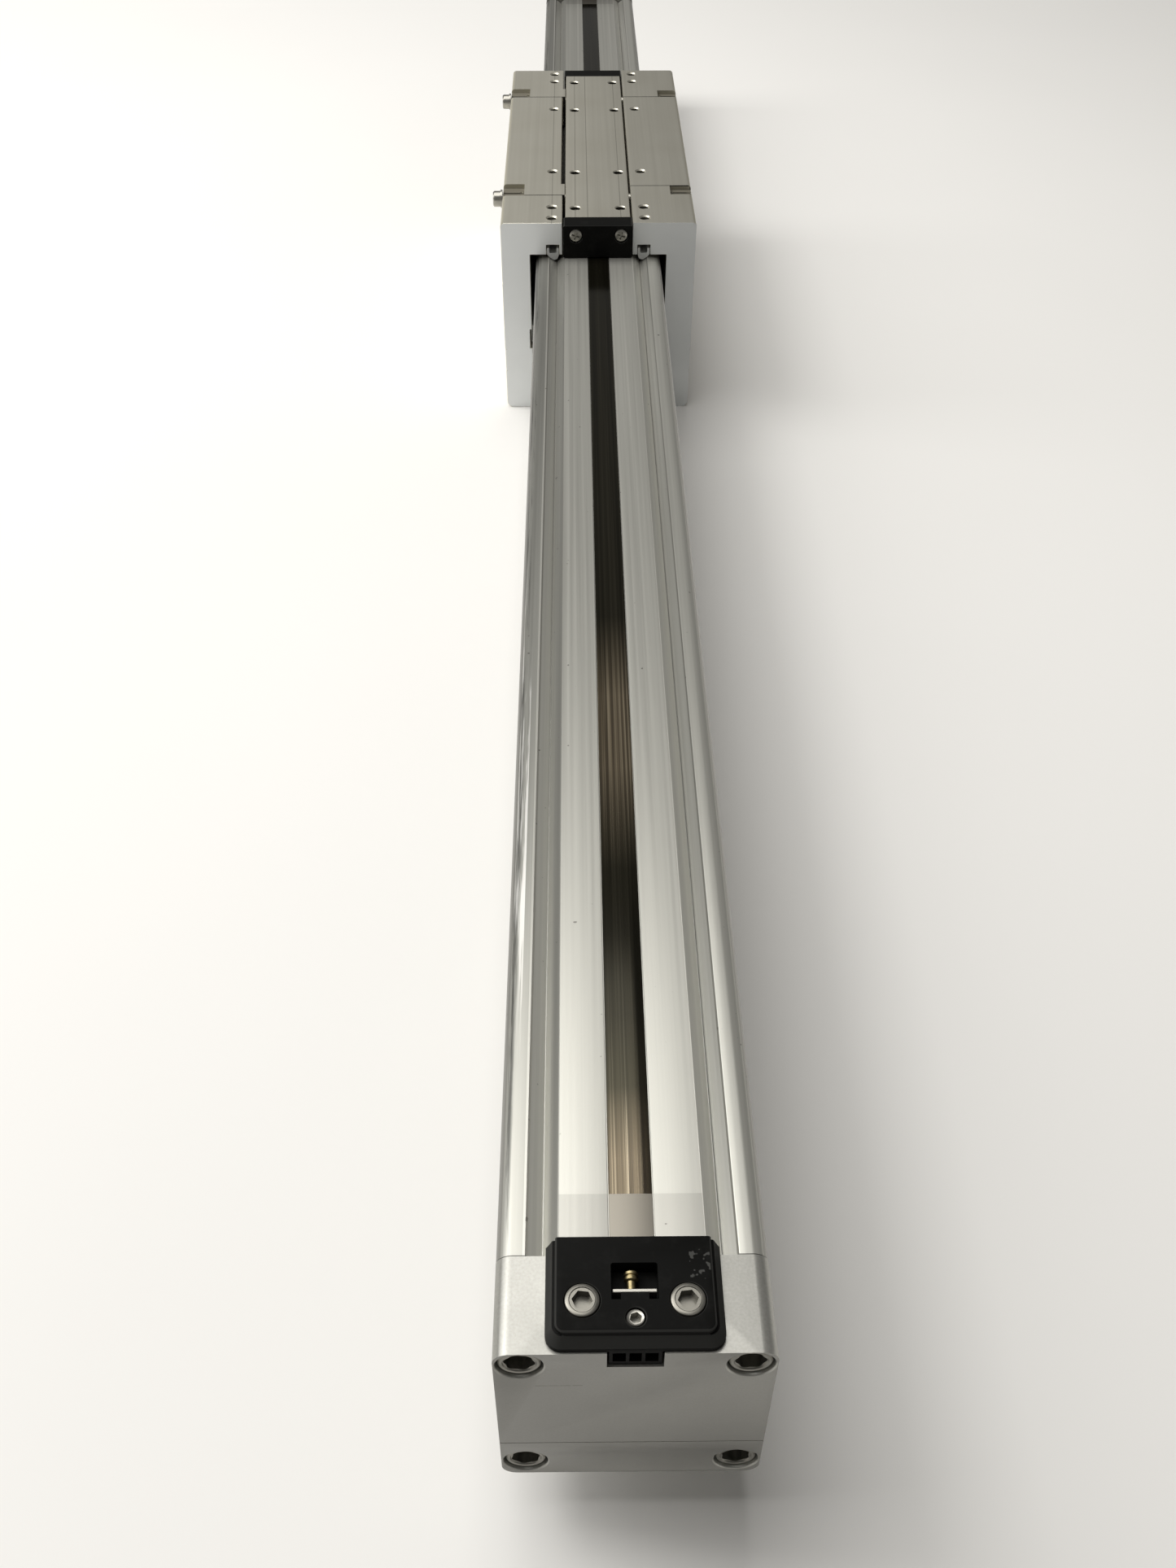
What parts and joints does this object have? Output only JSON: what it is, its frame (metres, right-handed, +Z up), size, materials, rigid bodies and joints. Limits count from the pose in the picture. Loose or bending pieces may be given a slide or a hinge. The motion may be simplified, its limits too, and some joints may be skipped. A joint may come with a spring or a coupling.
{
  "type": "linear guide carriage on rodless cylinder",
  "caption": "Wrap-around linear guide carriage on a straight band-sealed rodless cylinder rail, with flat load faces, slide shoes, side clamp screws, end caps and black band covers.",
  "frame": {"origin": "middle of the rail's length on its centre plane, level with the soles of the carriage legs, which are the lowest faces", "axes": "+Y along the rail towards the far end cap, +Z up through the load face, +X to the right seen from the near end"},
  "size_m": [0.1061, 1.08, 0.1035],
  "materials": {
    "anodised_rail": "satin clear anodised extrusion",
    "anodised_cap": "fine satin clear anodised",
    "anodised_carriage": "satin anodised, fine lines along the travel",
    "machined_aluminium": "plain machined",
    "black_plastic": "satin moulded black",
    "bright_steel": "bright zinc plated",
    "cap_screw_steel": "dull zinc plated",
    "band_steel": "glossy steel with a brown lengthwise-streaked oil film",
    "brass": "turned",
    "shoe_plastic": "light grey low-friction plastic",
    "seal_rubber": "matte"
  },
  "bodies": {
    "rail": {"barrel": "anodised_rail", "near_end_cap": "anodised_cap", "near_band_cover": "black_plastic", "near_cover_screw_left": "bright_steel", "near_cover_screw_right": "bright_steel", "near_clamp_set_screw": "bright_steel", "near_clamp_plate": "bright_steel", "near_clamp_pin": "brass", "near_boss_ring": "seal_rubber", "near_cushion_spigot": "bright_steel", "near_port_plug": "bright_steel", "near_cap_screw_lower_left": "cap_screw_steel", "near_cap_screw_upper_left": "cap_screw_steel", "near_cap_screw_lower_right": "cap_screw_steel", "near_cap_screw_upper_right": "cap_screw_steel", "far_end_cap": "anodised_cap", "far_band_cover": "black_plastic", "far_cover_screw_left": "bright_steel", "far_cover_screw_right": "bright_steel", "far_clamp_set_screw": "bright_steel", "far_clamp_plate": "bright_steel", "far_clamp_pin": "brass", "far_boss_ring": "seal_rubber", "far_cushion_spigot": "bright_steel", "far_port_plug": "bright_steel", "far_cap_screw_lower_left": "cap_screw_steel", "far_cap_screw_upper_left": "cap_screw_steel", "far_cap_screw_lower_right": "cap_screw_steel", "far_cap_screw_upper_right": "cap_screw_steel", "outer_band": "band_steel", "inner_band": "band_steel"},
    "carriage": {"piston_core": "machined_aluminium", "near_piston_seal": "seal_rubber", "far_piston_seal": "seal_rubber", "yoke": "anodised_carriage", "near_wiper_cover": "black_plastic", "near_wiper_screw_left": "bright_steel", "near_wiper_screw_right": "bright_steel", "far_wiper_cover": "black_plastic", "far_wiper_screw_left": "bright_steel", "far_wiper_screw_right": "bright_steel", "left_near_block": "anodised_carriage", "left_middle_block": "anodised_carriage", "left_far_block": "anodised_carriage", "left_upper_shoe": "shoe_plastic", "left_lower_shoe": "shoe_plastic", "left_near_clamp_screw": "bright_steel", "left_far_clamp_screw": "bright_steel", "right_near_block": "anodised_carriage", "right_middle_block": "anodised_carriage", "right_far_block": "anodised_carriage", "right_upper_shoe": "shoe_plastic", "right_lower_shoe": "shoe_plastic", "right_near_clamp_screw": "bright_steel", "right_far_clamp_screw": "bright_steel"}
  },
  "joints": [
    {"name": "carriage_slide", "type": "slide", "parent": "rail", "child": "carriage", "axis": [0, 1, 0], "range_m": [-0.545, 0.205], "deforming": ["outer_band", "inner_band"]}
  ]
}
